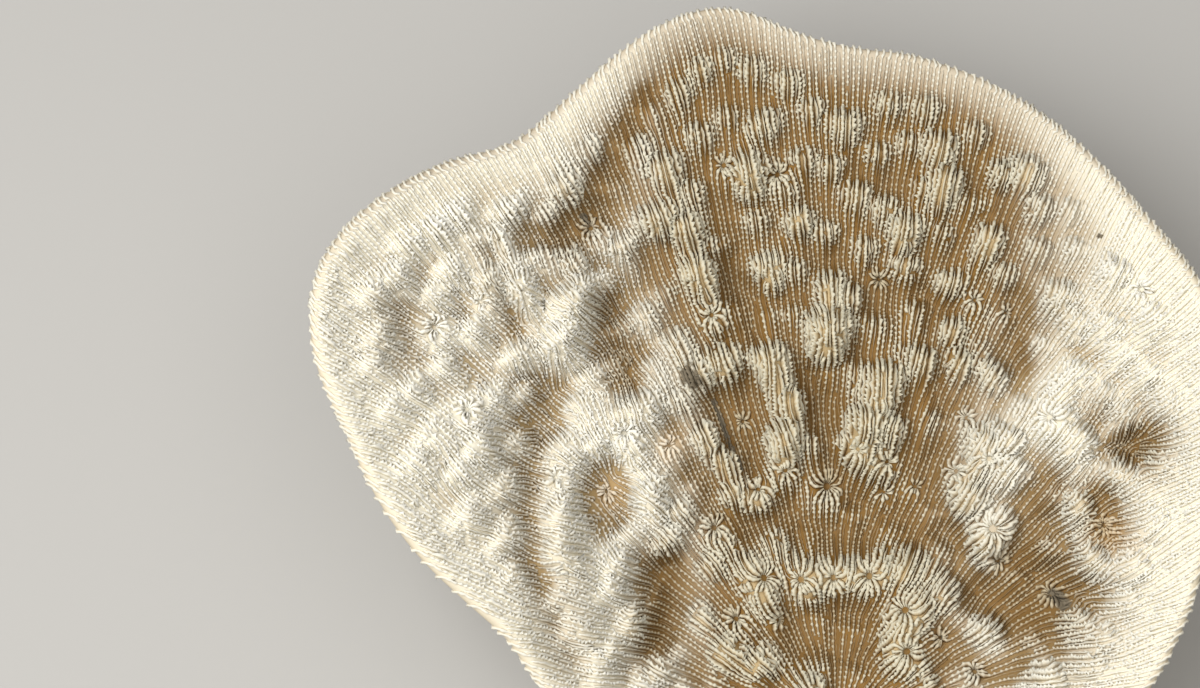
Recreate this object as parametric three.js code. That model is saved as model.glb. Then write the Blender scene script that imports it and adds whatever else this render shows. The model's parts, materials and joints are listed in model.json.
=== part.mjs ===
// A laminar cup coral skeleton: one thin, lobed, bowl-shaped plate that grew outwards and upwards
// from a centre near its front edge, on a short stalk that is cut off flat.
//
// Units are millimetres and +Z is up. The origin is the middle of the flat cut that it rests on.
//
// The plate is described in its own frame, which leans back by TILT: u runs to the right, v runs
// up the plate from the growth centre, and w stands out of the hollow, towards the viewer.
import * as THREE from 'three';
import { mergeVertices } from 'three/addons/utils/BufferGeometryUtils.js';

// Where the plate stands
const TILT = THREE.MathUtils.degToRad(20);
const LIFT_OFF = 9;                          // growth centre above the cut
const CUT_PLACE = { x: -5, y: 40 };          // middle of the cut, under the plate's weight

// The edge of the plate, seen from its middle: [reach, lift above the growth centre], one pair
// every 9 degrees, starting at the right and turning by the back, the left and the front
const MIDDLE = { u: -6.6, v: 50.3 };
const EDGE = [
  [64, 44], [64.5, 41], [65, 37], [63.5, 30], [63, 21], [63, 14.5], [63, 10], [62.5, 7.5],
  [62, 5.5], [61, 4], [63, 3], [68, 1.5], [67.5, 3.5], [65, 4.5], [63, 6], [63, 11],
  [69.5, 17], [75, 26], [78, 33], [75.5, 36.5], [69.5, 38], [65.5, 38.5], [61.5, 38], [57.5, 37],
  [55, 36], [56, 35], [58, 34.5], [60.5, 34], [63, 34], [65, 34], [66, 34], [66.5, 34.5],
  [66.5, 36], [66.5, 38], [66.5, 40], [66, 41.5], [65.5, 43], [64.5, 44], [63.5, 44.5], [63.5, 44.5],
];
const BOWL_POWER = 2.2;                      // flat in the middle, steep at the edge

// Thickness of the wall
const MIDDLE_THICKNESS = 8.5;
const EDGE_THICKNESS = 2.4;
const THICKNESS_POWER = 0.8;                 // how soon it thins on the way out

// Folds of the wall: [u, v, half length, half width, height]. A fold's length points at the
// growth centre, except where it is wider than long. Hollows have a height below zero.
const FOLDS = [
  [-55.5, 72.5, 11, 4.2, 3.4],               // left wing
  [-49, 76, 8, 3.6, 2.6],
  [-59, 49, 15, 6.5, 3],
  [-43.5, 28.5, 13, 5, 3],
  [-41.5, 67, 7, 4.5, 2.8],
  [-31.5, 46.5, 12, 5, 3.2],
  [-72, 66.5, 6, 5, 1.8],
  [-64.5, 38.5, 9, 5, 1.6],
  [-39.5, 94.5, 13, 5.5, 3.6],               // back
  [-27, 88, 12, 5.5, 2.8],
  [-13.5, 92.5, 9, 4.5, 1.8],
  [-2.5, 104.5, 9, 5, 1.4],
  [11.5, 82.5, 7, 5, 1.6],
  [18.5, 89.5, 9, 5, 2.2],
  [29, 86.5, 9, 5, 1.8],
  [0, 66.5, 7, 5, 2.8],                      // middle
  [-7.5, 51, 9, 3.8, 2.6],
  [6.5, 51, 10, 6, 3.8],
  [-18, 50.5, 10, 3.4, 2.2],
  [24.5, 44, 10, 5.5, 3.2],
  [24.5, 32, 7, 5, 2.8],
  [-16.5, 30, 9, 4.5, 2.4],
  [-1, 25, 4.5, 12, 1.8],
  [11.5, 20.5, 8, 5, 2.4],
  [-16, 14.5, 8, 5, 2],
  [36.5, 49, 12, 5, 3.4],                    // right wing
  [45, 40, 9, 5, 2.8],
  [40.5, 70, 9, 5, 1.6],
  [40.5, 16.5, 9, 5, 2],
  [-36.5, 85.5, 16, 4.5, -3.2],              // hollows at the back and on the left
  [-34, 63, 7, 5.5, -2.4],
  [-48.5, 53, 8, 5, -2.8],
  [-37, 39, 8, 4.5, -2.6],
  [-48, 28.5, 12, 4, -2.2],
  [-28, 21.5, 10, 5, -3.4],
  [-14, 72, 11, 4.5, -1.8],                  // hollows in the middle
  [-13.5, 49.5, 8, 3.6, -2.4],
  [3, 34, 4.5, 12, -1.6],
  [2.5, 14, 8, 6, -1.6],
  [18.5, 30, 6, 4, -1.6],
  [31, 25, 9, 7, -3.4],                      // hollows on the right
  [46, 47.5, 7, 5, -3.2],
  [42, 34, 7, 4, -2.4],
  [33.5, 15, 7, 5, -2],
  [30.5, 64.5, 10, 4, -1.8],
];
const FOLD_CALM_FROM = 0.8;                  // folds calm down from here to the edge
const FOLD_AT_EDGE = 0.45;
const FOLD_BELOW = 0.5;                      // how much of a fold shows on the underside

// The stalk, and the flat cut at its foot
const STALK_TOP = 0.47;                      // share of the way from the middle to the edge
const CUT_HALF = { x: 25, y: 20.5 };
const CUT_LOBES = [                          // how the stalk differs from an ellipse
  { count: 3, depth: 0.07, turn: 1 },
  { count: 5, depth: 0.04, turn: -1.6 },
];
const STALK_WAIST = 2;                       // how quickly it narrows below the plate

// Mesh divisions
const SEGMENTS = 120;
const CUT_RINGS = 3;
const STALK_RINGS = 6;
const UNDER_RINGS = 10;
const LIP_RINGS = 3;
const INNER_RINGS = 18;

const FULL_TURN = 2 * Math.PI;
const NORMAL_STEP = 0.004;
const MERGE_DISTANCE = 1e-4;

const edgeCurve = new THREE.CatmullRomCurve3(
  EDGE.map(([reach, lift], station) => {
    const angle = (FULL_TURN * station) / EDGE.length;
    return new THREE.Vector3(
      MIDDLE.u + reach * Math.cos(angle), MIDDLE.v + reach * Math.sin(angle), lift);
  }),
  true, 'centripetal');

// The sum of all folds at a place on the plate
function foldHeight(u, v) {
  let height = 0;
  for (const [foldU, foldV, long, wide, high] of FOLDS) {
    const away = new THREE.Vector2(foldU, foldV).normalize();
    const along = (u - foldU) * away.x + (v - foldV) * away.y;
    const across = (u - foldU) * away.y - (v - foldV) * away.x;
    height += high * Math.exp(-((along / long) ** 2) - (across / wide) ** 2);
  }
  return height;
}

// A place on the bowl, at a share of the way from its middle to its edge, with some of the folds
function bowlPoint(turn, share, foldShare) {
  const edge = edgeCurve.getPoint(turn);
  const u = THREE.MathUtils.lerp(MIDDLE.u, edge.x, share);
  const v = THREE.MathUtils.lerp(MIDDLE.v, edge.y, share);
  const calm = 1 - (1 - FOLD_AT_EDGE) * THREE.MathUtils.smoothstep(share, FOLD_CALM_FROM, 1);
  const w = edge.z * share ** BOWL_POWER + foldShare * calm * foldHeight(u, v);
  return new THREE.Vector3(u, v, w);
}

// The way out of the hollow there, square to the wall
function bowlNormal(turn, share, foldShare) {
  const before = bowlPoint((turn + 1 - NORMAL_STEP) % 1, share, foldShare);
  const after = bowlPoint((turn + NORMAL_STEP) % 1, share, foldShare);
  const inside = bowlPoint(turn, share - NORMAL_STEP, foldShare);
  const outside = bowlPoint(turn, share + NORMAL_STEP, foldShare);
  return outside.sub(inside).cross(after.sub(before)).normalize();
}

function thickness(share) {
  return THREE.MathUtils.lerp(MIDDLE_THICKNESS, EDGE_THICKNESS, share ** THICKNESS_POWER);
}

function underPoint(turn, share) {
  const normal = bowlNormal(turn, share, FOLD_BELOW);
  return bowlPoint(turn, share, FOLD_BELOW).addScaledVector(normal, -thickness(share));
}

// Round the lip, from the underside (0) to the inner face (1)
function lipPoint(turn, share) {
  const under = underPoint(turn, 1);
  const inner = bowlPoint(turn, 1, 1);
  const outwards = inner.clone().sub(bowlPoint(turn, 1 - NORMAL_STEP, 1)).normalize();
  const bulge = (EDGE_THICKNESS / 2) * Math.sin(Math.PI * share);
  return under.lerp(inner, (1 - Math.cos(Math.PI * share)) / 2).addScaledVector(outwards, bulge);
}

// From the plate's own frame to the standing coral
function stand({ x: u, y: v, z: w }) {
  const cos = Math.cos(TILT);
  const sin = Math.sin(TILT);
  return new THREE.Vector3(
    u - CUT_PLACE.x, v * cos - w * sin - CUT_PLACE.y, v * sin + w * cos + LIFT_OFF);
}

function cutPoint(turn, share) {
  const angle = FULL_TURN * turn;
  let reach = share;
  for (const lobe of CUT_LOBES) reach *= 1 + lobe.depth * Math.cos(lobe.count * angle + lobe.turn);
  return new THREE.Vector3(
    CUT_HALF.x * reach * Math.cos(angle), CUT_HALF.y * reach * Math.sin(angle), 0);
}

// Down the stalk, from the foot (0) to the underside of the plate (1)
function stalkPoint(turn, share) {
  const foot = cutPoint(turn, 1);
  const top = stand(underPoint(turn, STALK_TOP));
  const spread = share ** STALK_WAIST;
  return new THREE.Vector3(
    THREE.MathUtils.lerp(foot.x, top.x, spread),
    THREE.MathUtils.lerp(foot.y, top.y, spread),
    THREE.MathUtils.lerp(foot.z, top.z, share));
}

// The rings of the body, from the middle of the cut, over the outside, to the middle of the hollow
const steps = (count) => Array.from({ length: count }, (_, step) => step / count);
const rings = [
  ...steps(CUT_RINGS).map((share) => (turn) => cutPoint(turn, share)),
  ...steps(STALK_RINGS).map((share) => (turn) => stalkPoint(turn, share)),
  ...steps(UNDER_RINGS).map((share) => (turn) =>
    stand(underPoint(turn, THREE.MathUtils.lerp(STALK_TOP, 1, share)))),
  ...steps(LIP_RINGS).map((share) => (turn) => stand(lipPoint(turn, share))),
  ...steps(INNER_RINGS).map((share) => (turn) => stand(bowlPoint(turn, 1 - share, 1))),
  () => stand(bowlPoint(0, 0, 1)),
];

// A lathe turns the profile of the right-hand side round the axis, and each of its points then
// goes to its own place on the lobed plate
function makeCorallum() {
  const profile = rings.map((ring) => {
    const { x, y, z } = ring(0);
    return new THREE.Vector2(Math.hypot(x, y), z);
  });
  const lathe = new THREE.LatheGeometry(profile, SEGMENTS);
  const positions = lathe.attributes.position;
  for (let index = 0; index < positions.count; index += 1) {
    const turn = (Math.floor(index / rings.length) / SEGMENTS) % 1;
    const { x, y, z } = rings[index % rings.length](turn);
    positions.setXYZ(index, x, y, z);
  }
  lathe.deleteAttribute('normal');
  lathe.deleteAttribute('uv');
  return withoutFlatTriangles(mergeVertices(lathe, MERGE_DISTANCE));
}

// At the two ends of the profile the lathe's triangles shrink to lines, which are dropped
function withoutFlatTriangles(geometry) {
  const old = Array.from(geometry.index.array);
  const kept = [];
  for (let start = 0; start < old.length; start += 3) {
    const [a, b, c] = old.slice(start, start + 3);
    if (a !== b && b !== c && c !== a) kept.push(a, b, c);
  }
  geometry.setIndex(kept);
  geometry.computeVertexNormals();
  return geometry;
}

const aragonite = new THREE.MeshStandardMaterial({
  color: 0xe6dcc4, roughness: 0.9, metalness: 0,
});

const corallum = new THREE.Mesh(makeCorallum(), aragonite);
corallum.name = 'corallum';

const coral = new THREE.Group();
coral.add(corallum);

export default coral;
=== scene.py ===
# %% [markdown]
# # The skeleton of a laminar cup coral
# The real thing is one thin, lobed bowl of white stone. Its inner face is set with hundreds of
# upright toothed blades, the septa, that run out from the growth centre to the edge. They meet in
# a star wherever a polyp sat. The bowl itself comes from the frame, and everything on it is grown
# here in the way the animal grew it: mounds first, then the run of the blades, then their teeth.

# %% Load the frame
import json
import math
import random
from collections import deque

import bpy
import numpy as np
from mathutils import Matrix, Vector, noise
from mathutils.bvhtree import BVHTree

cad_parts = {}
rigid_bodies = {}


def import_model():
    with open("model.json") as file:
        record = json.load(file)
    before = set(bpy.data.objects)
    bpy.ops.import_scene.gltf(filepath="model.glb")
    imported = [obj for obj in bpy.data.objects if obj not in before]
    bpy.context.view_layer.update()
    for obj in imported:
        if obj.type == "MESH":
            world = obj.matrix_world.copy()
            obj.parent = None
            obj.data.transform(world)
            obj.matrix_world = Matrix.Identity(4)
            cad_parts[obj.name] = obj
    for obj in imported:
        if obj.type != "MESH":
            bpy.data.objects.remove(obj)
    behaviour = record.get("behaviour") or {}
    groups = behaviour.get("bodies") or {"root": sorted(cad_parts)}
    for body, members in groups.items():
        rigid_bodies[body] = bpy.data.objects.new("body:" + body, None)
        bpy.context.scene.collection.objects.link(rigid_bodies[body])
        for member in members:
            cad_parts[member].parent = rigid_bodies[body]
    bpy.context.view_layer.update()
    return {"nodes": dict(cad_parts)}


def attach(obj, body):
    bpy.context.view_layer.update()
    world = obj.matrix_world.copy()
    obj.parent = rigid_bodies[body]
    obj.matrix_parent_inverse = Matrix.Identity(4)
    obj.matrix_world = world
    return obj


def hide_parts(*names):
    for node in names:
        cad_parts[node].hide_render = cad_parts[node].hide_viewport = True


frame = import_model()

bpy.ops.object.select_all(action="DESELECT")
random.seed(8)

# %% [markdown]
# ## The plate's own frame
# The bowl leans back, so its surface is easiest to think of in its own frame, in millimetres: u to
# the right, v up the plate from the growth centre, and w out of the hollow. Seen along w, the whole
# inner face is one height field, and so is the underside outside the stalk.

# %% Plate frame
MM = 0.001
TINY = 1e-6  # keeps divisions from meeting zero
LEAN = math.radians(20)
GROWTH_CENTRE = np.array([5.0, -40.0, 9.0])  # in the row's frame, in millimetres
PLATE_AXES = np.array([
    [1, 0, 0],
    [0, math.cos(LEAN), math.sin(LEAN)],
    [0, -math.sin(LEAN), math.cos(LEAN)],
])


def to_plate(points):
    """Metres in the row's frame to millimetres in the plate's."""
    return (np.asarray(points) / MM - GROWTH_CENTRE) @ PLATE_AXES.T


def to_row(points):
    """Millimetres in the plate's frame to metres in the row's."""
    return (np.asarray(points) @ PLATE_AXES + GROWTH_CENTRE) * MM


def smooth_step(low, high, value):
    """0 at low and 1 at high, with a soft start and end."""
    share = np.clip((value - low) / (high - low), 0, 1)
    return share * share * (3 - 2 * share)


# %% [markdown]
# ## The camera
# The photograph looks straight down on the plate, from about 0.7 m with a long lens. The picture's
# middle lies off to the left of the coral, so the coral is cut off by the lower and right edges.

# %% Camera
SEEN_MIDDLE = (-38.0, 63.0, 0.0)  # the place in the picture's middle, plate frame
CAMERA_DISTANCE = 700.0
SEEN_WIDTH = 198.0  # width of the view there
SENSOR = 36.0

camera_data = bpy.data.cameras.new("camera")
camera_data.sensor_width = SENSOR
camera_data.lens = SENSOR * CAMERA_DISTANCE / SEEN_WIDTH
camera = bpy.data.objects.new("camera", camera_data)
bpy.context.scene.collection.objects.link(camera)
camera.location = to_row(np.add(SEEN_MIDDLE, (0, 0, CAMERA_DISTANCE)))
camera.rotation_euler = (LEAN, 0, 0)
bpy.context.scene.camera = camera
print("lens in mm:", round(camera_data.lens, 1))

# %% [markdown]
# ## The wall
# The wall is the frame's own bowl, made smooth. The loose triangles are merged and joined to
# four-sided faces, because a subdivision surface flows best over those.

# %% Wall, smoothed
WALL_LEVELS = 2

source = frame["nodes"]["corallum"]
source.select_set(True)
bpy.context.view_layer.objects.active = source
bpy.ops.object.duplicate()
wall = bpy.context.view_layer.objects.active
wall.name = wall.data.name = "wall"
for key in [key for key in wall.keys() if key.startswith("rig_")]:
    del wall[key]
bpy.ops.object.parent_clear(type="CLEAR_KEEP_TRANSFORM")
bpy.ops.object.mode_set(mode="EDIT")
bpy.ops.mesh.select_all(action="SELECT")
bpy.ops.mesh.remove_doubles(threshold=0.00002)
bpy.ops.mesh.tris_convert_to_quads(face_threshold=math.pi, shape_threshold=math.pi)
bpy.ops.object.mode_set(mode="OBJECT")
smoothing = wall.modifiers.new("smooth", "SUBSURF")
smoothing.levels = smoothing.render_levels = WALL_LEVELS
bpy.ops.object.modifier_apply(modifier=smoothing.name)
bpy.ops.object.select_all(action="DESELECT")
print("wall faces:", len(wall.data.polygons))

# %% [markdown]
# ## Ridges, hollows and mouths
# The inner face is rough ground. Broad ridges and deep hollows come from the photograph and are
# kept as paths over the plate, as (height, half width, places). On them sit the polyps' homes,
# each one a nose that leans outward: a swollen horseshoe of wall on the side of the growth
# centre, and the mouth behind it. Those that the photograph shows are listed, as (u, v, size).
# The rest are strewn at the same spacing and thin out to the edge.

# %% Ridges and hollows
RIDGES = [
    (2.6, 2.6, [(-23, 59.5), (-23.5, 53.5), (-21.5, 48.5), (-19, 44), (-15.5, 39.5), (-13, 37.5)]),
    (2.8, 3.0, [(-13, 37.5), (-10.5, 40.5), (-8.5, 45.5), (-7.5, 50.5), (-8, 55.5), (-9.5, 60.5)]),
    (2.4, 2.8, [(-21.5, 62), (-18, 59), (-13.5, 62.5), (-10, 62)]),
    (3.2, 4.0, [(-23, 59.5), (-27.5, 55.5), (-31.5, 53.5), (-36.5, 51), (-40.5, 47), (-43, 41.5),
                (-44.5, 37), (-44.5, 30.5), (-42.5, 24.5), (-39.5, 18.5), (-38, 13.5)]),
    (2.6, 3.0, [(-34, 47), (-31.5, 41.5), (-30, 35.5), (-28, 30)]),
    (2.2, 3.0, [(-36.5, 28), (-34.5, 21.5), (-32.5, 14), (-28.5, 11.5)]),
    (3.0, 3.2, [(-42.5, 74.5), (-42, 71.5), (-43.5, 67), (-46, 62.5), (-45, 58.5)]),
    (2.2, 1.9, [(-57.5, 79.5), (-56, 73), (-54, 67), (-52, 62)]),
    (2.0, 2.0, [(-53.5, 79), (-51, 71.5), (-49, 65.5)]),
    (2.2, 5.0, [(-54, 58), (-57.5, 50.5), (-58.5, 44.5), (-55.5, 38)]),
    (1.6, 4.0, [(-54, 38), (-54.5, 28.5), (-50.5, 22.5)]),
    (1.6, 3.5, [(-47, 94.5), (-43.5, 90.5), (-39.5, 88)]),
    (3.2, 3.6, [(-0.5, 70), (-1, 65), (-1.5, 62.5)]),
    (3.4, 4.2, [(10.5, 61.5), (8, 55), (6, 49), (5.5, 44.5)]),
    (2.4, 2.2, [(14, 64), (14.5, 58.5), (15, 53.5)]),
    (2.2, 1.9, [(19.5, 64.5), (20.5, 59), (20, 54.5)]),
    (2.2, 1.9, [(23.5, 62.5), (25, 58.5), (26.5, 55.5)]),
    (3.2, 3.4, [(24.5, 50.5), (23, 45.5), (21.5, 40.5), (19.5, 37)]),
    (2.2, 2.2, [(29, 49.5), (27, 45.5), (25.5, 41)]),
    (3.4, 3.2, [(34, 56), (35.5, 51.5), (37, 46), (38.5, 39.5), (39.5, 33.5), (40, 28.5)]),
    (2.6, 2.2, [(27, 34.5), (25, 32), (23.5, 30)]),
    (2.2, 3.0, [(44.5, 41.5), (46.5, 38.5), (45.5, 32), (43.5, 28)]),
    (2.4, 3.0, [(37, 16), (34, 11.5), (32, 6.5)]),
    (2.8, 3.2, [(-14, 26.5), (-12, 24), (-10, 20.5)]),
    (2.8, 3.0, [(-6, 27.5), (-4.5, 24.5), (0.5, 25.5), (6, 25.5), (8.5, 26.5)]),
    (3.0, 3.2, [(8.5, 26.5), (12, 25), (15.5, 25), (15, 21.5), (12, 17.5), (10, 14.5)]),
    (2.4, 2.4, [(17, 21.5), (21, 18.5), (24, 15.5), (26, 13)]),
    (2.2, 3.2, [(-36, 80.5), (-31.5, 83), (-26, 84), (-23, 82), (-22.5, 76.5), (-21, 71.5),
                (-18.5, 66.5), (-15, 63)]),
    (1.8, 2.0, [(-13, 98), (-14.5, 92.5), (-14, 88)]),
    (1.6, 2.2, [(18.5, 93.5), (17, 88), (15.5, 84)]),
    (1.6, 2.2, [(-6.5, 87.5), (-5.5, 83)]),
    (1.8, 2.4, [(-11.5, 76.5), (-8.5, 78), (-9, 73)]),
    (1.6, 2.4, [(12, 84), (11.5, 79)]),
    (1.6, 2.4, [(25, 79), (22.5, 76), (20, 72.5)]),
    (2.2, 3.0, [(-21.5, 18), (-18.5, 13), (-13.5, 9.5)]),
    (2.2, 2.6, [(-7, 11.5), (-5.5, 8.5), (-3.5, 5.5)]),
    (2.0, 2.4, [(11.5, 12.5), (13.5, 10.5)]),
]
HOLLOWS = [
    (3.4, 3.4, [(-30, 104), (-33.5, 96.5), (-37, 89.5), (-39, 84), (-44, 80.5), (-49.5, 81)]),
    (2.0, 2.6, [(-47.5, 76), (-44.5, 73)]),
    (2.4, 2.4, [(-56, 78), (-54, 71.5), (-51.5, 64.5)]),
    (2.6, 3.2, [(-36.5, 69), (-35, 62.5), (-33.5, 57.5)]),
    (2.2, 3.4, [(-47, 55.5), (-48.5, 50.5), (-50, 44), (-51, 38), (-49, 31), (-47, 24), (-44.5, 13)]),
    (3.0, 2.6, [(-19.5, 54), (-17.5, 48.5), (-14.5, 43)]),
    (4.2, 3.6, [(-27, 27.5), (-27.5, 21.5), (-29, 15)]),
    (1.3, 3.0, [(-37, 39), (-36, 35.5)]),
    (2.4, 2.8, [(-18, 76.5), (-15, 70), (-14, 65)]),
    (2.4, 2.4, [(-3, 57.5), (-1.5, 50.5), (0.5, 43.5), (3.5, 36.5)]),
    (1.8, 3.0, [(0, 77.5), (-2.5, 72)]),
    (1.8, 3.0, [(7, 72), (14.5, 71.5), (17.5, 67)]),
    (2.6, 2.4, [(29.5, 70), (30, 63.5), (30, 60)]),
    (4.0, 3.4, [(47, 47.5), (46.5, 46.5)]),
    (1.6, 2.6, [(41, 52.5), (41, 51.5)]),
    (3.2, 2.8, [(41, 39), (41.5, 33.5)]),
    (3.6, 4.6, [(24, 22.5), (28, 21.5), (33, 23.5), (35.5, 24)]),
    (2.6, 3.6, [(28.5, 28), (32, 34.5), (34, 39.5)]),
    (2.0, 2.6, [(33, 16), (33, 15)]),
    (2.6, 3.0, [(21, 30), (17.5, 36.5), (17, 43)]),
    (2.4, 3.0, [(-21.5, 40.5), (-18, 35.5), (-14, 32)]),
    (2.6, 2.2, [(-9, 22.5), (-7.5, 18), (-6.5, 13)]),
    (2.2, 4.0, [(1, 18.5), (2.5, 13), (2, 7)]),
    (2.2, 2.8, [(17.5, 14.5), (23, 10.5), (28.5, 12)]),
    (1.6, 2.6, [(22.5, 89), (23, 84)]),
    (1.6, 2.4, [(29, 85.5), (28, 80)]),
    (1.2, 3.0, [(5, 91.5), (10.5, 88)]),
    (1.6, 3.0, [(-70.5, 68.5), (-70, 62.5)]),
    (1.8, 3.0, [(-5, 31.5), (1.5, 32.5), (8, 31.5)]),
]
RELIEF_SHARE = 0.85

# %% Mouths and tufts
MOUTHS = [
    (-0.7, 39.5, 1.4), (-7.6, 42.3, 0.9), (-12.1, 39.0, 0.9), (4.2, 45.9, 0.8), (8.8, 43.8, 0.9),
    (8.6, 38.8, 0.7), (13.6, 39.6, 0.7), (-14.4, 50.2, 0.8), (-11.4, 24.8, 1.25), (-5.2, 24.6, 1.2),
    (0.0, 24.9, 1.15), (5.8, 25.2, 1.2), (-19.4, 32.8, 1.1), (11.4, 19.9, 1.2), (11.4, 13.4, 1.3),
    (16.8, 15.5, 0.8), (25.3, 33.2, 1.3), (-26.8, 46.3, 0.8), (42.1, 34.2, 0.9), (20.0, 42.3, 0.9),
    (-15.9, 18.2, 1.0), (22.1, 10.3, 0.9), (-37.1, 38.8, 0.8), (-9.2, 18.0, 0.8), (34.6, 22.8, 1.0),
    (0.0, 0.0, 1.2), (24.6, 44.6, 0.8),
]
TUFTS = [
    (-0.5, 65.5, 1.4), (-10.7, 60.5, 1.1), (8.1, 57.5, 1.2), (5.2, 50.5, 1.0), (24.5, 47.0, 1.0),
    (-31.4, 52.8, 1.1), (12.2, 75.4, 1.0), (18.5, 73.2, 0.9), (5.2, 79.0, 0.8), (-5.5, 83.6, 0.8),
    (11.9, 82.0, 0.9), (19.0, 89.4, 1.0), (14.5, 60.5, 1.0), (20.3, 60.0, 0.9), (25.6, 58.0, 1.0),
    (-21.5, 108.3, 0.6), (-17.4, 100.6, 0.7), (-13.2, 91.6, 1.1), (-3.4, 101.7, 0.6),
    (23.3, 97.8, 0.7), (33.4, 85.4, 0.8), (-21.5, 75.1, 1.0), (-10.6, 75.4, 0.9),
    (-42.0, 71.1, 1.2), (-51.0, 72.3, 0.9), (-55.2, 74.1, 0.9), (-58.9, 65.1, 0.9),
    (-18.0, 60.5, 1.1), (-44.0, 64.0, 1.1), (27.5, 48.0, 0.9), (-29.0, 83.5, 0.9),
    (6.5, 66.0, 1.0), (-6.5, 68.0, 0.8), (10.0, 49.5, 0.9), (16.0, 50.5, 0.9), (30.0, 53.0, 0.9),
    (33.0, 63.0, 0.9), (36.0, 71.0, 1.0), (4.0, 88.0, 0.9), (-27.5, 92.0, 0.9), (-5.0, 93.5, 0.8),
    (27.0, 91.0, 0.8), (12.5, 96.0, 0.8), (43.0, 66.0, 0.9), (-15.5, 68.5, 0.9), (-26.0, 63.5, 1.0),
    (38.3, 58.7, 1.0), (-8.0, 47.5, 1.0), (1.5, 47.0, 0.8), (22.0, 38.0, 0.9), (-21.0, 48.0, 0.8),
]
TUFT_GAP = 4.2  # millimetres between strewn tufts, across the growth
TUFT_STRETCH = 1.75  # and this much farther apart along it
STREWN_SIZES = (0.65, 1.05)
TUFT_HEIGHT = 3.4
TUFT_WIDTH = 2.8
TUFT_BEFORE, TUFT_BEYOND = 4.8, 1.8  # toward the growth centre, and away from it
HOOD_HEIGHT = 2.0
HOOD_REACH = 1.6  # from the mouth to the crest of its hood
HOOD_INSIDE, HOOD_OUTSIDE = 1.15, 2.0
HOOD_STRETCH = 1.45  # longer toward the growth centre
HOOD_BACK = 0.3  # share of the height behind the mouth

# %% The inner face and the underside as height fields
CELL = 0.3  # millimetres between samples
GRID_LOW = np.array([-86.0, -22.0])
GRID_HIGH = np.array([62.0, 122.0])
GRID_SHAPE = tuple(int(n) for n in np.ceil((GRID_HIGH - GRID_LOW) / CELL) + 1)
FAR = 200.0
EDGE_SEEN = 15.0  # how far from the edge the distance is counted
SIDES = (-1, 0, 1)
NEIGHBOURS = [((i, j), math.hypot(i, j)) for i in SIDES for j in SIDES if (i, j) != (0, 0)]
grid_u = GRID_LOW[0] + CELL * np.arange(GRID_SHAPE[0])
grid_v = GRID_LOW[1] + CELL * np.arange(GRID_SHAPE[1])
GRID_UV = np.stack(np.meshgrid(grid_u, grid_v, indexing="ij"), -1)


def mesh_points(mesh):
    """A mesh's vertices as rows, in metres."""
    points = np.empty(len(mesh.vertices) * 3)
    mesh.vertices.foreach_get("co", points)
    return points.reshape(-1, 3)


def set_mesh_points(mesh, points):
    mesh.vertices.foreach_set("co", np.asarray(points, np.float32).ravel())
    mesh.update()


def mesh_tree(mesh):
    """A search tree over the mesh, in the plate's frame."""
    places = to_plate(mesh_points(mesh)).tolist()
    return BVHTree.FromPolygons(places, [tuple(face.vertices) for face in mesh.polygons])


def height_field(mesh, side):
    """The mesh's height w over the grid, seen from the hollow (1) or from behind (-1)."""
    tree = mesh_tree(mesh)
    heights = np.full(GRID_SHAPE, np.nan)
    way = Vector((0, 0, -side))
    for i, u in enumerate(grid_u):
        for j, v in enumerate(grid_v):
            hit = tree.ray_cast(Vector((u, v, side * FAR)), way)[0]
            if hit is not None:
                heights[i, j] = hit.z
    return heights


def edge_distance(inside):
    """Distance in millimetres from each inside cell to the nearest outside one, up to EDGE_SEEN."""
    distance = np.where(inside, EDGE_SEEN, 0.0)
    for _ in range(int(EDGE_SEEN / CELL)):
        for shift, cost in NEIGHBOURS:
            moved = np.roll(distance, shift, (0, 1)) + cost * CELL
            distance = np.minimum(distance, moved)
    return distance


inside = np.isfinite(height_field(wall.data, 1))
edge_gap = edge_distance(inside)
print("inner face seen along w, in square mm:", round(inside.sum() * CELL * CELL))

# %% Strewn tufts and mouths
MOUTHLESS_EDGE = 7.5  # millimetres along the edge with no tuft or mouth
STREWN_MOUTHS = 0.1  # this share of the strewn ones show their mouth


def strewn():
    """The listed tufts and mouths, with more between them wherever there is room."""
    tufts, open_mouths = list(TUFTS), list(MOUTHS)
    candidates = np.argwhere(edge_gap > MOUTHLESS_EDGE)
    for index in np.random.default_rng(5).permutation(len(candidates)):
        u, v = GRID_UV[tuple(candidates[index])]
        away = math.hypot(u, v)
        if away < TUFT_GAP:
            continue
        near = False
        for other_u, other_v, _ in tufts + open_mouths:
            along = ((u - other_u) * u + (v - other_v) * v) / away
            across = ((u - other_u) * v - (v - other_v) * u) / away
            if math.hypot(along / TUFT_STRETCH, across) < TUFT_GAP:
                near = True
                break
        if not near:
            place = (u, v, random.uniform(*STREWN_SIZES))
            (open_mouths if random.random() < STREWN_MOUTHS else tufts).append(place)
    return np.array(tufts), np.array(open_mouths)


tufts, mouths = strewn()
print("tufts:", len(tufts), "open mouths:", len(mouths))

# %% [markdown]
# ## Raising the ground
# The bowl's vertices are moved along w, so that each feature stays where the photograph has it.
# Ridges and hollows move both faces, because the wall is thin and folds as a whole. The tufts, the
# hoods and the slow noise move the inner face alone. All of it calms down at the edge. The stalk
# and the wall close to it only get weak ribs, along their normals.

# %% Ground height
GROUND_NOISE = 0.5
GROUND_GRAIN = (5.0, 11.0)  # across and along the growth, in millimetres
STALK_RADIUS = 16.0
RIB_WIDTH, RIB_HEIGHT = 1.5, 0.55
RIB_LENGTH, KNOT_LENGTH = 14, 4


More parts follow.
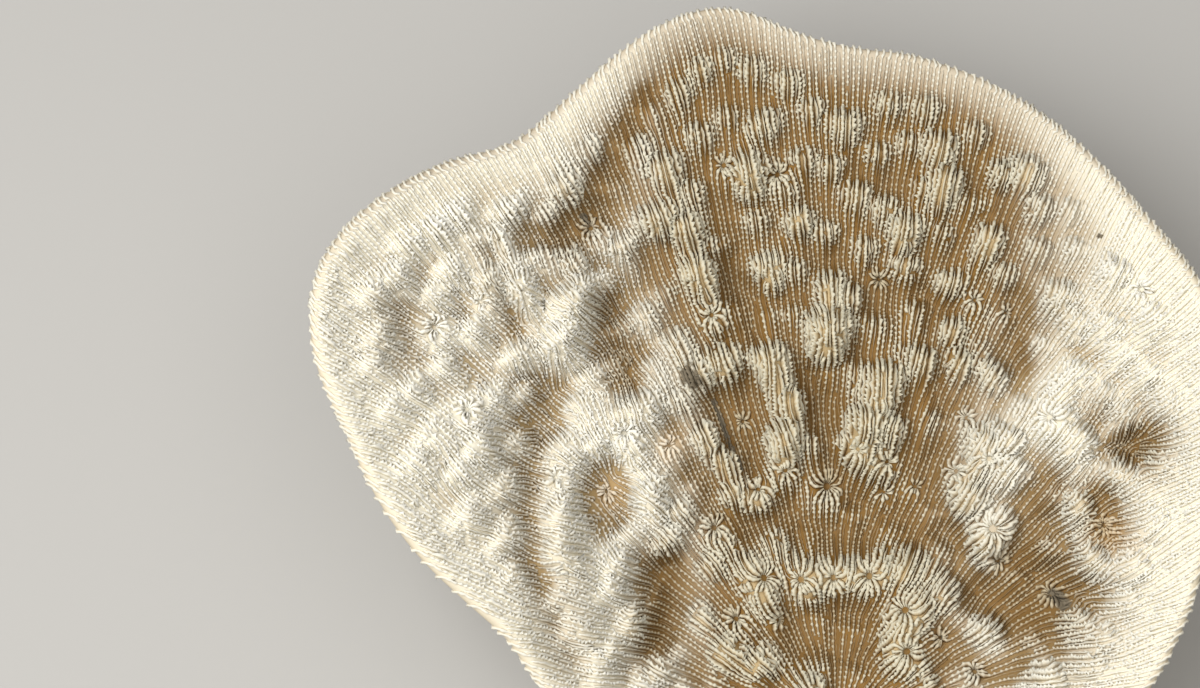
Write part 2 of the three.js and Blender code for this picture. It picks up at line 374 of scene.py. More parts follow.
def path_distance(u, v, path):
    """Distance in millimetres to a path of straight parts."""
    nearest = np.full(u.shape, 99.0)
    for (u0, v0), (u1, v1) in zip(path, path[1:]):
        run_u, run_v = u1 - u0, v1 - v0
        share = ((u - u0) * run_u + (v - v0) * run_v) / (run_u ** 2 + run_v ** 2)
        share = np.clip(share, 0, 1)
        nearest = np.minimum(nearest, np.hypot(u - u0 - share * run_u, v - v0 - share * run_v))
    return nearest


def near_path(u, v, path, width):
    """1 on the path, and softly down to nothing beside it."""
    return np.exp(-(path_distance(u, v, path) / width) ** 2)


def highest(layers):
    """A soft maximum, so that neighbours flow together and don't pile up."""
    return sum(layer ** 4 for layer in layers) ** 0.25


def ridge_height(u, v):
    """The broad ridges and hollows."""
    up = highest(height * near_path(u, v, path, width) for height, width, path in RIDGES)
    down = highest(depth * near_path(u, v, path, width) for depth, width, path in HOLLOWS)
    return RELIEF_SHARE * (up - down)


def growth_axes(u, v, place_u, place_v):
    """Distances from a place along the growth, and across it."""
    away = math.hypot(place_u, place_v) or 1.0
    out_u, out_v = place_u / away, place_v / away
    du, dv = u - place_u, v - place_v
    return du * out_u + dv * out_v, du * out_v - dv * out_u


def tuft_height(u, v):
    """Long noses that rise slowly away from the growth centre and end steeply."""
    total = np.zeros_like(u)
    for tuft_u, tuft_v, size in tufts:
        near = np.abs(u - tuft_u) + np.abs(v - tuft_v) < 16 * size
        along, across = growth_axes(u[near], v[near], tuft_u, tuft_v)
        along = along / np.where(along < 0, TUFT_BEFORE, TUFT_BEYOND) / size
        across = across / (TUFT_WIDTH * size * np.clip(1.1 + 0.4 * along, 0.5, 1.3))
        bump = np.exp(-along ** 2 - across ** 2)
        total[near] += (TUFT_HEIGHT * size * bump) ** 4
    return total ** 0.25


def hood_height(u, v):
    """A horseshoe round each mouth, high toward the growth centre and low behind."""
    total = np.zeros_like(u)
    for mouth_u, mouth_v, size in mouths:
        near = np.abs(u - mouth_u) + np.abs(v - mouth_v) < 14 * size
        along, across = growth_axes(u[near], v[near], mouth_u, mouth_v)
        along, across = along / size, across / size
        along = np.where(along < 0, along / HOOD_STRETCH, along)
        reach = np.hypot(along, across)
        toward = 0.5 - 0.5 * along / np.maximum(reach, TINY)
        offset = reach - HOOD_REACH
        shape = np.exp(-(offset / np.where(offset < 0, HOOD_INSIDE, HOOD_OUTSIDE)) ** 2)
        total[near] += (HOOD_HEIGHT * size * shape * (HOOD_BACK + (1 - HOOD_BACK) * toward)) ** 4
    return total ** 0.25


def ground_noise(u, v):
    """Slow unevenness, longer along the growth than across it."""
    away = np.hypot(u, v)
    turn = np.arctan2(u, v + 40)
    return np.array([
        noise.noise(Vector((t * 70 / GROUND_GRAIN[0], r / GROUND_GRAIN[1], 3.0)))
        for t, r in zip(turn, away)])


def stalk_ribs(places):
    """Weak ribs that run up the stalk. The flat cut stays flat."""
    x, y, z = places.T
    away = np.maximum(np.hypot(x, y), 1)[:, None]
    turn = np.column_stack([x, y]) / away * STALK_RADIUS / RIB_WIDTH
    ribs = [noise.noise(Vector((a, b, 7 + height / RIB_LENGTH))) for (a, b), height in zip(turn, z)]
    knots = [noise.noise(Vector((a / 3, b / 3, 19 + height / KNOT_LENGTH)))
             for (a, b), height in zip(turn, z)]
    rough = np.array(ribs) + 0.6 * np.array(knots)
    return RIB_HEIGHT * rough * smooth_step(0.2, 3.0, z)


# %% Displace the wall
STALK_SAFE = 30.0  # millimetres round the stalk's middle
points = to_plate(mesh_points(wall.data))
normals = np.empty(len(points) * 3)
wall.data.vertices.foreach_get("normal", normals)
normals = normals.reshape(-1, 3) @ PLATE_AXES.T
facing = smooth_step(0.1, 0.45, normals[:, 2])
u, v = points[:, 0], points[:, 1]
cell = np.clip(np.rint((points[:, :2] - GRID_LOW) / CELL).astype(int), 0, np.array(GRID_SHAPE) - 1)
point_gap = edge_gap[cell[:, 0], cell[:, 1]]
calm = smooth_step(0.5, 11.0, point_gap)
from_stalk = np.hypot(*to_row(points)[:, :2].T) / MM
behind = smooth_step(STALK_SAFE, STALK_SAFE + 10, from_stalk) * (1 - facing)
broad = ridge_height(u, v) * calm
fine = highest([tuft_height(u, v), hood_height(u, v)])
fine = (fine + GROUND_NOISE * ground_noise(u, v)) * calm
points[:, 2] += broad * (facing + behind) + fine * facing
ribs = stalk_ribs(to_row(points) / MM) * (1 - facing) * (1 - behind)
points += normals * ribs[:, None]
set_mesh_points(wall.data, to_row(points))
for face in wall.data.polygons:
    face.use_smooth = True
print("ridges in mm:", round(float(broad.min()), 2), "to", round(float(broad.max()), 2),
      "hoods up to", round(float(fine.max()), 2))

# %% Height fields of the finished wall
inner_height = height_field(wall.data, 1)
under_height = height_field(wall.data, -1)
inner_height[~inside] = np.nanmin(inner_height)
inside &= np.isfinite(under_height)
under_height[~inside] = 0


def blurred(field, reach):
    """A soft average over the inner face only, by running sums along both ways."""
    total, weight = np.where(inside, field, 0.0), inside.astype(float)
    cells = int(reach / CELL)
    for _ in range(2):
        for axis in (0, 1):
            for layer in (total, weight):
                sums = np.cumsum(np.pad(layer, [(cells + 1, cells) if a == axis else (0, 0)
                                                for a in (0, 1)]), axis)
                high = np.take(sums, range(2 * cells + 1, sums.shape[axis]), axis)
                low = np.take(sums, range(0, sums.shape[axis] - 2 * cells - 1), axis)
                layer[...] = high - low
    return total / np.maximum(weight, TINY)


relief = inner_height - blurred(inner_height, 5.0)
relief[~inside] = 0
print("relief in mm:", round(float(relief.min()), 1), "to", round(float(relief.max()), 1))


def sample(field, u, v):
    """A field's value between its cells."""
    x = np.clip((u - GRID_LOW[0]) / CELL, 0, GRID_SHAPE[0] - 1.001)
    y = np.clip((v - GRID_LOW[1]) / CELL, 0, GRID_SHAPE[1] - 1.001)
    i, j = x.astype(int), y.astype(int)
    x, y = x - i, y - j
    return ((field[i, j] * (1 - x) + field[i + 1, j] * x) * (1 - y)
            + (field[i, j + 1] * (1 - x) + field[i + 1, j + 1] * x) * y)


# %% [markdown]
# ## Which way the septa run
# Septa have a run but no arrow, so their direction is kept as a doubled angle, which can be
# averaged. On level ground they run straight out from the growth centre. On a slope they go the
# steepest way, down from the ridges like fur, and near a mouth they turn to meet it from all
# round, which gives each mouth its star.

# %% Direction field
STAR_REACH = 1.9
WANDER = 0.16  # radians
SLOPE_PULL = 1.1
MIDDLE_PULL = 0.35  # in the middle the growth wins over the slope
WING_WANDER = 2.5  # how much more the septa wander in the wings
FUR_SHARE = 0.72


def fur(u, v):
    """The wings carry tall teeth nearly everywhere."""
    left = smooth_step(-24, -36, u) * smooth_step(85, 70, v)
    right = smooth_step(30, 42, u) * smooth_step(90, 60, v)
    return FUR_SHARE * np.maximum(left, right)


def direction_field():
    """Cosine and sine of the doubled angle, over the grid."""
    u, v = GRID_UV[..., 0], GRID_UV[..., 1]
    drift = np.zeros(GRID_SHAPE)
    for size, share in ((14.0, 1.0), (6.0, 0.5)):
        turns = np.array([[noise.noise(Vector((a / size, b / size, size))) for b in grid_v[::5]]
                          for a in grid_u[::5]])
        drift += share * np.kron(turns, np.ones((5, 5)))[:GRID_SHAPE[0], :GRID_SHAPE[1]]
    wander = WANDER * (1 + WING_WANDER * fur(u, v) / FUR_SHARE)
    angle = 2 * (np.arctan2(v, u) + wander * blurred(drift, 1.5))
    field = np.stack([np.cos(angle), np.sin(angle)])
    ground = blurred(relief, 0.9)
    slope_u, slope_v = np.gradient(ground, CELL)
    steep = np.hypot(slope_u, slope_v)
    angle = 2 * np.arctan2(slope_v, slope_u)
    pull = SLOPE_PULL * smooth_step(0.3, 0.9, steep) * smooth_step(5.0, 12.0, edge_gap)
    pull *= MIDDLE_PULL + (1 - MIDDLE_PULL) * fur(u, v) / FUR_SHARE
    field = field + pull * np.stack([np.cos(angle), np.sin(angle)])
    field = np.stack([blurred(part, 0.6) for part in field])
    field /= np.maximum(np.hypot(*field), TINY)
    for mouth_u, mouth_v, size in mouths:
        du, dv = u - mouth_u, v - mouth_v
        weight = np.exp(-(du * du + dv * dv) / (STAR_REACH * size) ** 2)
        angle = 2 * np.arctan2(dv, du)
        field = field * (1 - weight) + weight * np.stack([np.cos(angle), np.sin(angle)])
    return field / np.maximum(np.hypot(*field), TINY)


def mouth_distance():
    """Distance to the nearest mouth, counted in that mouth's own size."""
    nearest = np.full(GRID_SHAPE, 99.0)
    for mouth_u, mouth_v, size in mouths:
        away = np.hypot(GRID_UV[..., 0] - mouth_u, GRID_UV[..., 1] - mouth_v) / size
        nearest = np.minimum(nearest, away)
    return nearest


field_c, field_s = direction_field()
to_mouth = mouth_distance()
print("direction field done")

# %% [markdown]
# ## Growing the lines
# A line follows the field both ways from a seed, until it comes too near another line or the edge.
# New seeds are set beside each finished line, so the lines keep an even distance and new ones
# start wherever the old ones spread apart, as new septa do. A fine map of what is taken makes the
# test quick.

# %% Line growing
SEPTUM_GAP = 0.95
STRIDE = 0.2
OCCUPIED_CELL = 0.1
EDGE_MARGIN = 1.15  # septa reach the lip here
AT_THE_LIP = EDGE_MARGIN + 0.45  # a line that ends closer goes on over the lip
STAR_SPACING = 0.45
MOUTH_OPENING = 0.42  # lines stop here, in mouth sizes
LONGEST = 160  # millimetres
BORDER = 10  # spare cells round the map of taken places


def lookup(field, u, v):
    """A field's value at the nearest cell."""
    return field[int((u - GRID_LOW[0]) / CELL + 0.5), int((v - GRID_LOW[1]) / CELL + 0.5)]


def local_gap(u, v, gap):
    """The distance between lines, which is closer in the star of a mouth."""
    return min(gap, max(0.2, STAR_SPACING * lookup(to_mouth, u, v)))


class Taken:
    """A map of the places too near to a line."""

    def __init__(self, closeness):
        shape = np.ceil((GRID_HIGH - GRID_LOW) / OCCUPIED_CELL).astype(int) + 2 * BORDER
        self.map = np.zeros(tuple(shape), bool)
        self.closeness = closeness
        self.discs = {}

    def disc(self, radius):
        cells = max(1, round(radius / OCCUPIED_CELL))
        if cells not in self.discs:
            side = np.arange(-cells, cells + 1)
            x, y = np.meshgrid(side, side, indexing="ij")
            near = x * x + y * y <= (cells + 0.3) ** 2
            self.discs[cells] = (x[near], y[near])
        return self.discs[cells]

    def cell(self, u, v):
        return (int((u - GRID_LOW[0]) / OCCUPIED_CELL) + BORDER,
                int((v - GRID_LOW[1]) / OCCUPIED_CELL) + BORDER)

    def at(self, u, v):
        return self.map[self.cell(u, v)]

    def add(self, line, gap):
        for u, v in line:
            x, y = self.disc(self.closeness * local_gap(u, v, gap))
            i, j = self.cell(u, v)
            self.map[i + x, j + y] = True


def direction(u, v, last):
    """The field's way at a place, as a unit step that goes on from the last one."""
    x, y = (u - GRID_LOW[0]) / CELL, (v - GRID_LOW[1]) / CELL
    i, j = int(x), int(y)
    x, y = x - i, y - j
    a, b, c, d = (1 - x) * (1 - y), x * (1 - y), (1 - x) * y, x * y
    cos, sin = (
        a * part[i, j] + b * part[i + 1, j] + c * part[i, j + 1] + d * part[i + 1, j + 1]
        for part in (field_c, field_s))
    half = 0.5 * math.atan2(sin, cos)
    way = (math.cos(half), math.sin(half))
    if way[0] * last[0] + way[1] * last[1] < 0:
        way = (-way[0], -way[1])
    return way


def grow(start, way, taken, ground, free=0.0):
    """Points from the start, following the field, until something is in the way."""
    u, v = start
    line, length = [], 0.0
    while length < LONGEST:
        middle = direction(u + way[0] * STRIDE / 2, v + way[1] * STRIDE / 2, way)
        if middle[0] * way[0] + middle[1] * way[1] < 0.5:
            break
        way = middle
        u, v = u + way[0] * STRIDE, v + way[1] * STRIDE
        length += STRIDE
        if not ground(u, v) or (length > free and taken.at(u, v)):
            break
        if lookup(to_mouth, u, v) < MOUTH_OPENING:
            break
        line.append((u, v))
    return line


def on_inner_face(u, v):
    """Whether septa can stand here."""
    return lookup(edge_gap, u, v) > EDGE_MARGIN


def beside(line, gap):
    """Seeds on both sides of a line."""
    for (u, v), (next_u, next_v) in zip(line[1::3], line[2::3]):
        away = math.hypot(next_u - u, next_v - v)
        step = local_gap(u, v, gap) / away
        across = ((next_v - v) * step, -(next_u - u) * step)
        yield u + across[0], v + across[1]
        yield u - across[0], v - across[1]


def all_beside(lines, gap):
    return [seed for line in lines for seed in beside(line, gap)]


def fill(lines, gap, taken, ground, shortest, seeds):
    """Grows lines from the seeds and beside each new line until there is no room."""
    waiting = deque(seeds)
    while waiting:
        u, v = waiting.popleft()
        if not ground(u, v) or taken.at(u, v) or lookup(to_mouth, u, v) < 0.5:
            continue
        way = direction(u, v, (u, v))
        back = grow((u, v), (-way[0], -way[1]), taken, ground)
        line = back[::-1] + [(u, v)] + grow((u, v), way, taken, ground)
        if len(line) * STRIDE < shortest:
            continue
        lines.append(line)
        taken.add(line, gap)
        waiting.extend(beside(line, gap))


# %% Strong septa
SHORTEST_PETAL = 0.8
taken = Taken(closeness=0.58)
septa = []
for mouth_u, mouth_v, size in mouths:
    count = random.randint(11, 14)
    first = random.random()
    for petal in range(count):
        turn = 2 * math.pi * (petal + first + random.uniform(-0.2, 0.2)) / count
        way = (math.cos(turn), math.sin(turn))
        start = (mouth_u + 0.45 * size * way[0], mouth_v + 0.45 * size * way[1])
        line = [start] + grow(start, way, taken, on_inner_face, free=size)
        if len(line) * STRIDE > SHORTEST_PETAL:
            septa.append(line)
            taken.add(line, SEPTUM_GAP)
petals = len(septa)
fill(septa, SEPTUM_GAP, taken, on_inner_face, 1.6, all_beside(septa, SEPTUM_GAP))
print("strong septa:", len(septa), "of which from a mouth:", petals,
      "length in m:", round(sum(map(len, septa)) * STRIDE / 1000, 1))

# %% Fine septa between the strong ones
FINE_GAP = SEPTUM_GAP * 0.55
taken = Taken(closeness=0.52)
for line in septa:
    taken.add(line, FINE_GAP)
fine_septa = []
fill(fine_septa, FINE_GAP, taken, on_inner_face, 1.4, all_beside(septa, SEPTUM_GAP * 0.52))
print("fine septa:", len(fine_septa),
      "length in m:", round(sum(map(len, fine_septa)) * STRIDE / 1000, 1))

# %% [markdown]
# ## From lines to blades
# A septum is a thin upright blade with a row of teeth on its edge. Each line is laid on the wall
# and measured out in short even steps. Every few steps one place is left high, and that is a
# tooth. A strong blade has four corners in section, two at its foot, sunk in the wall, and two at
# its top. A fine one has a single corner at its top.

# %% Blade meshes
FOOT_SUNK = 0.12


class Blades:
    """Collects blades, and makes one closed mesh of them."""

    def __init__(self):
        self.points, self.quads, self.ends, self.looks, self.count = [], [], [], [], 0

    def add(self, base, normal, height, foot, top, white, look):
        """One blade over the places base, with its heights, half widths and whiteness there.

        Without top half widths the blade is sharp, with three corners in section."""
        run = np.gradient(base, axis=0)
        side = np.cross(run, normal)
        side /= np.maximum(np.linalg.norm(side, axis=1), 1e-9)[:, None]
        low, high = base - FOOT_SUNK * normal, base + height[:, None] * normal
        foot = foot[:, None]
        bare = np.zeros(len(base))
        if top is None:
            ring = np.stack([low - side * foot, high, low + side * foot], 1)
            rise = np.stack([bare, white, bare], 1)
        else:
            top = top[:, None]
            ring = [low - side * foot, high - side * top, high + side * top, low + side * foot]
            ring = np.stack(ring, 1)
            rise = np.stack([bare, white, white, bare], 1)
        corners, n = ring.shape[1], len(base)
        i = self.count + corners * np.arange(n - 1)[:, None]
        k = np.arange(corners)[None, :]
        after = (k + 1) % corners
        quads = np.stack([i + k, i + after, i + corners + after, i + corners + k], -1)
        last = self.count + corners * (n - 1)
        first_end = list(range(self.count + corners - 1, self.count - 1, -1))
        last_end = list(range(last, last + corners))
        self.quads.append(quads.reshape(-1, 4))
        self.ends += [first_end, last_end]
        self.points.append(ring.reshape(-1, 3))
        others = np.repeat(look[:, None, :], corners, 1)
        self.looks.append(np.concatenate([rise[..., None], others], 2).reshape(-1, 5))
        self.count += corners * n

    def make(self, name):
        points = to_row(np.concatenate(self.points))
        quads = np.concatenate(self.quads)
        corners = np.concatenate([quads.ravel(), np.concatenate(self.ends)])
        sizes = np.concatenate([np.full(len(quads), 4), [len(end) for end in self.ends]])
        mesh = bpy.data.meshes.new(name)
        mesh.vertices.add(len(points))
        mesh.vertices.foreach_set("co", points.astype(np.float32).ravel())
        mesh.loops.add(len(corners))
        mesh.loops.foreach_set("vertex_index", corners.astype(np.int32))
        mesh.polygons.add(len(sizes))
        starts = np.concatenate([[0], np.cumsum(sizes)[:-1]])
        mesh.polygons.foreach_set("loop_start", starts.astype(np.int32))
        mesh.polygons.foreach_set("use_smooth", np.ones(len(sizes), bool))
        mesh.update(calc_edges=True)
        mesh.validate()
        set_look(mesh, np.concatenate(self.looks))
        piece = bpy.data.objects.new(name, mesh)
        bpy.context.scene.collection.objects.link(piece)
        print(name, "triangles:", int((sizes - 2).sum()))
        return piece


def set_look(mesh, look):
    """Height on the blade, paleness with painted light and shade, scarred places with painted shade,
    and staining with painted shade, as one colour, and the tint beside it.
    """
    attribute = mesh.attributes.new("look", "FLOAT_COLOR", "POINT")
    attribute.data.foreach_set("color", np.ascontiguousarray(look[:, :4], np.float32).ravel())
    attribute = mesh.attributes.new("tint", "FLOAT", "POINT")
    attribute.data.foreach_set("value", np.ascontiguousarray(look[:, 4], np.float32))


def surface(height_map, side):
    """Slopes of a height map, for its normals."""
    slope_u, slope_v = np.gradient(height_map, CELL)
    return height_map, slope_u, slope_v, side


inner_face = surface(inner_height, 1)
under_face = surface(under_height, -1)


def lay(line, face, step):
    """Lays a line on a face, at even steps along it. Gives places and normals."""
    height_map, slope_u, slope_v, side = face
    flat = np.array(line)
    w = sample(height_map, flat[:, 0], flat[:, 1])
    track = np.column_stack([flat, w])
    length = np.concatenate([[0], np.cumsum(np.linalg.norm(np.diff(track, axis=0), axis=1))])
    count = max(2, int(round(length[-1] / step)) + 1)
    at = np.linspace(0, length[-1], count)
    places = np.column_stack([np.interp(at, length, track[:, axis]) for axis in range(3)])
    u, v = places[:, 0], places[:, 1]
    normal = side * np.column_stack([-sample(slope_u, u, v), -sample(slope_v, u, v), np.ones(count)])
    return places, normal / np.linalg.norm(normal, axis=1)[:, None]


SCAR_SHADES = [  # half width and path of worn, broken places, painted dark with the shade of their cracks and pits
    (0.6, [(-19.6, 54), (-18, 50), (-16.2, 45.5), (-15, 42.5)]),
    (1.5, [(-23.5, 58), (-22.5, 57)]),
    (1.6, [(35.3, 22.5), (36, 21.5)]),
    (0.8, [(-40.8, 84), (-40.5, 83.2)]),
    (0.5, [(42.0, 80.4), (42.2, 80.2)]),
]
TINTS = [  # half width and path of faint orange places
    (2.6, [(-26.5, 46.5), (-26.8, 45.5)]),
    (2.4, [(-36.5, 39), (-36.8, 38)]),
    (2.6, [(43, 33.5), (43.5, 32.5)]),
]
SHADES = [  # strength, half width and path of painted shade in broad valleys
    (0.36, 10.0, [(31, 27), (31, 21)]),
    (0.30, 7.0, [(-33, 97), (-37, 89), (-43, 81)]),
]
HOLLOW_STAIN_AND_SHADE_SPREAD = 1.5  # the painted shade and staining of a hollow reach wider than the hollow
CREST_RELIEF = 4.5  # millimetres from the deepest to the highest ground, from the darkest painted shade to the palest
# Less staining near the edge, and painted shade on the very lip.
LIP_STAIN_AND_SHADE = 0.45


def looks_at(u, v):
    """Paleness from the hollows to the crests, with painted shade low and painted light high, partly
    cleaner stone; scarred places; staining of the region; and orange tints.
    """
    # Painted shade in two broad valleys.
    shade = highest(depth * near_path(u, v, path, width) for depth, width, path in SHADES)
    # Paler crests and darker low ground: painted light and painted shade, partly cleaner stone.
    clean_and_lit = np.clip(0.5 + sample(relief, u, v) / CREST_RELIEF - shade, 0, 1)
    scar_and_shade, tint = (
        highest(near_path(u, v, path, width) for width, path in spots) for spots in (SCAR_SHADES, TINTS))
    right_limit = 36 + 12 * smooth_step(45, 75, v)
    left_limit = -34 - 9 * smooth_step(55, 80, v)
    stain_and_shade = smooth_step(left_limit, left_limit + 18, u)
    stain_and_shade = stain_and_shade * smooth_step(right_limit, right_limit - 24, u)
    stain_and_shade = np.maximum(stain_and_shade, np.minimum(1, 3 * shade))
    wing = 0.45 + 0.55 * smooth_step(-50, -32, u)
    # Hollows get painted shade, deeper for deeper hollows, partly real staining.
    for depth, width, path in HOLLOWS:
        spot = near_path(u, v, path, HOLLOW_STAIN_AND_SHADE_SPREAD * width)
        stain_and_shade = np.maximum(stain_and_shade, min(1, depth / 3) * wing * spot)
    gap = sample(edge_gap, u, v)
    stain_and_shade = stain_and_shade * (LIP_STAIN_AND_SHADE + (1 - LIP_STAIN_AND_SHADE) * smooth_step(1.0, 9.0, gap))
    # The very lip is painted darker: painted shade.
    stain_and_shade = np.maximum(stain_and_shade, LIP_STAIN_AND_SHADE * smooth_step(2.2, 0.4, gap))
    return np.column_stack([clean_and_lit, scar_and_shade, stain_and_shade, tint])


# %% Round the lip
LIP_STEP = 0.42
THINNEST_LIP = 0.5
wall_tree = mesh_tree(wall.data)


def round_lip(places, normals, line):
    """Carries a blade that reaches the edge on, over the lip and onto the underside."""
    u, v = line[-1]
    start = places[-1]
    under = np.array([u, v, float(sample(under_height, np.array([u]), np.array([v]))[0])])
    across = start - under
    thick = np.linalg.norm(across)
    if thick < THINNEST_LIP:
        return places, normals, 0
    across /= thick
    out = places[-1] - places[-2]
    out -= across * (out @ across)
    out /= np.linalg.norm(out)
    reach = EDGE_MARGIN / max(0.35, math.hypot(out[0], out[1]))
    added, facing, last = [], [], start
    for angle in np.radians(np.arange(8, 160, 4)):
        guess = (start + under) / 2 + math.cos(angle) * across * (thick / 2 + 1)
        guess = guess + math.sin(angle) * out * (reach + 2)
        place, normal, _, _ = wall_tree.find_nearest(Vector(guess))
        if np.linalg.norm(np.array(place) - last) > LIP_STEP:
            last = np.array(place)
            added.append(last)
            facing.append(normal)
    if not added:
        return places, normals, 0
    return np.vstack([places, added]), np.vstack([normals, facing]), len(added)


# %% Strong septa as blades
TOOTH_STEP = 0.31
TEETH_APART, CREST_TEETH_APART = (2.6, 4.2), (1.7, 2.7)  # in steps
LOW_HEIGHT, ROPE_HEIGHT, FUR_HEIGHT = 0.5, 0.85, 0.36
LIP_HEIGHTS, LIP_FEET = (0.5, 0.25), (0.27, 0.2)  # at a tooth, and between teeth
LEAN_OUT, LEAN_UP = 0.45, 0.25
FADE_STEPS = 2.5
rng = np.random.default_rng(11)


def septum(blades, line):
    """One strong septum: low in the grooves, roped on the mounds, furry in the wings."""
    flip = lookup(edge_gap, *line[0]) < lookup(edge_gap, *line[-1])
    line = line[::-1] if flip else line
    places, normals = lay(line, inner_face, TOOTH_STEP)
    on_face = len(places)
    lip = 0
    if lookup(edge_gap, *line[-1]) < AT_THE_LIP:
        places, normals, lip = round_lip(places, normals, line)
    u, v = places[:, 0], places[:, 1]
    n = len(places)
    away = sample(to_mouth, u, v)
    star = smooth_step(2.8, 1.6, away)
    gap, ground = sample(edge_gap, u, v), sample(relief, u, v)
    mound = smooth_step(-1.3, 1.2, ground) * smooth_step(3.0, 9.0, gap)
    furry = fur(u, v) * smooth_step(0.3, 3.0, gap) * smooth_step(-3.0, 0.0, ground)
    crest = np.maximum(mound, furry)
    rope = mound * (1 - furry)
    room = np.clip(STAR_SPACING * away, 0.2, SEPTUM_GAP)
    period = rng.uniform(*TEETH_APART, n) * (1 - crest)
    period = period + rng.uniform(*CREST_TEETH_APART, n) * crest
    phase = np.floor(np.cumsum(1 / period) + rng.random())
    starts = np.concatenate([[True], np.diff(phase) > 0])
    tooth = starts.astype(float)
    height = LOW_HEIGHT + ROPE_HEIGHT * rope ** 1.3 + FUR_HEIGHT * furry
    height = height * rng.normal(1, 0.1 + 0.1 * crest, n)
    height = height * (1 - star) + star * rng.normal(1, 0.06, n)
    height *= 0.45 + 0.55 * np.minimum(1, room / 0.6)
    notch = (0.45 + 0.35 * furry - 0.1 * rope) * (1 - 0.75 * star)
    height *= 1 - notch * (1 - tooth)
    foot = room * (0.165 + 0.065 * tooth + 0.09 * rope + 0.03 * furry + 0.14 * star)
    top = foot * np.where(starts, 0.8 - 0.15 * furry, 0.62)
    white = np.where(starts, 1.0, 0.5 + 0.2 * np.maximum(crest, star))
    if lip:
        bare = np.where(starts, *LIP_HEIGHTS) * rng.normal(1, 0.12, n)
        height[on_face:] = bare[on_face:]
        foot[on_face:] = np.where(starts, *LIP_FEET)[on_face:]
        top[on_face:], white[on_face:] = foot[on_face:] * 0.8, 0.9
    fade = np.minimum(1, (np.arange(n) + 0.6) / FADE_STEPS)
    height *= fade
    if not lip:
        height *= fade[::-1]
    out = np.column_stack([u, v, np.zeros(n)]) / np.maximum(np.hypot(u, v), 1)[:, None]
    lean = (LEAN_OUT * out + LEAN_UP * np.array([0, 0, 1])) * (crest * (1 - star))[:, None]
    sideways = rng.normal(0, 0.05 + 0.05 * crest + 0.38 * furry, n)
    lean += sideways[:, None] * np.cross(normals, out)
    lean[on_face:] = 0
    normals = normals + lean
    normals /= np.linalg.norm(normals, axis=1)[:, None]
    blades.add(places, normals, height, foot, top, white, looks_at(u, v))


SECTORS = (  # names, and the limit of u on their right
    ("septa_left", -31),
    ("septa_middle_left", -6),
    ("septa_middle_right", 17),
    ("septa_right", 99),
)
septa_pieces = {name: Blades() for name, _ in SECTORS}
for line in septa:
    middle_u = line[len(line) // 2][0]
    name = next(name for name, limit in SECTORS if middle_u < limit)
    septum(septa_pieces[name], line)
coral = [blades.make(name) for name, blades in septa_pieces.items()]


# %% Fine septa as blades
FINE_STEP = 0.5
FINE_LOW, FINE_ROPE, FINE_FUR, FINE_LEAST = 0.28, 0.62, 0.4, 0.15
FINE_SPLIT = -8  # they are two meshes, left and right of this u


def fine_septum(blades, line):
    """One fine septum: a low sharp blade, higher on the mounds."""
    places, normals = lay(line, inner_face, FINE_STEP)
    u, v = places[:, 0], places[:, 1]
    n = len(places)
    mound, furry = smooth_step(-1.2, 1.5, sample(relief, u, v)), fur(u, v)
    crest = np.maximum(mound, furry)
    height = FINE_LOW + FINE_ROPE * mound * (1 - furry) + FINE_FUR * furry
    height = np.maximum(height * rng.normal(1, 0.2 + 0.2 * furry, n), FINE_LEAST)
    fade = np.minimum(1, (np.arange(n) + 0.6) / 2.0)
    height *= fade * fade[::-1]
    foot = 0.1 + 0.09 * mound
    white = 0.4 + 0.5 * crest + rng.uniform(-0.1, 0.1, n)
    blades.add(places, normals, height, foot, None, white, looks_at(u, v))


fine_pieces = {name: Blades() for name in ("left", "right")}
for line in fine_septa:
    side = "left" if line[len(line) // 2][0] < FINE_SPLIT else "right"
    fine_septum(fine_pieces[side], line)
coral += [blades.make("fine_septa_" + name) for name, blades in fine_pieces.items()]

# %% [markdown]
# ## The underside
# Where a septum goes over the lip it carries on behind as a low rib, a costa. The costae run
# toward the stalk, fade before it and get the growth bands that such corals show there. The
# photograph doesn't show this side.

# %% Costae on the underside
STALK_REACH = 27.0  # costae end this far from the stalk's middle
COSTA_GAP = 1.05
COSTA_STEP, COSTA_HEIGHT, COSTA_TOOTH = 0.8, 0.3, 0.12
COSTA_CENTRE = 20  # the v that the costae run toward
STALK_SHIFT = 3
stalk_middle = to_plate(np.array([[0, 0, 0.012]]))[0]


def stalk_distance(u, v):
    return np.hypot(u - stalk_middle[0], v - stalk_middle[1] + STALK_SHIFT)


def on_underside(u, v):
    """Whether costae can stand here."""
    return lookup(edge_gap, u, v) > EDGE_MARGIN and stalk_distance(u, v) > STALK_REACH


taken = Taken(closeness=0.6)
to_mouth = np.full(GRID_SHAPE, 99.0)
field_angle = 2 * np.arctan2(GRID_UV[..., 1] - COSTA_CENTRE, GRID_UV[..., 0])
field_c, field_s = np.cos(field_angle), np.sin(field_angle)
costae = []
ends = [min(line[0], line[-1], key=lambda end: lookup(edge_gap, *end)) for line in septa]
ends = [end for end in ends if lookup(edge_gap, *end) < AT_THE_LIP]
random.shuffle(ends)
for u, v in ends:
    way = direction(u, v, (-u, COSTA_CENTRE - v))
    line = grow((u, v), way, taken, on_underside, free=1.5)
    if len(line) * STRIDE > 2:
        costae.append(line)
        taken.add(line, COSTA_GAP)
fill(costae, COSTA_GAP, taken, on_underside, 3.0, all_beside(costae, COSTA_GAP))


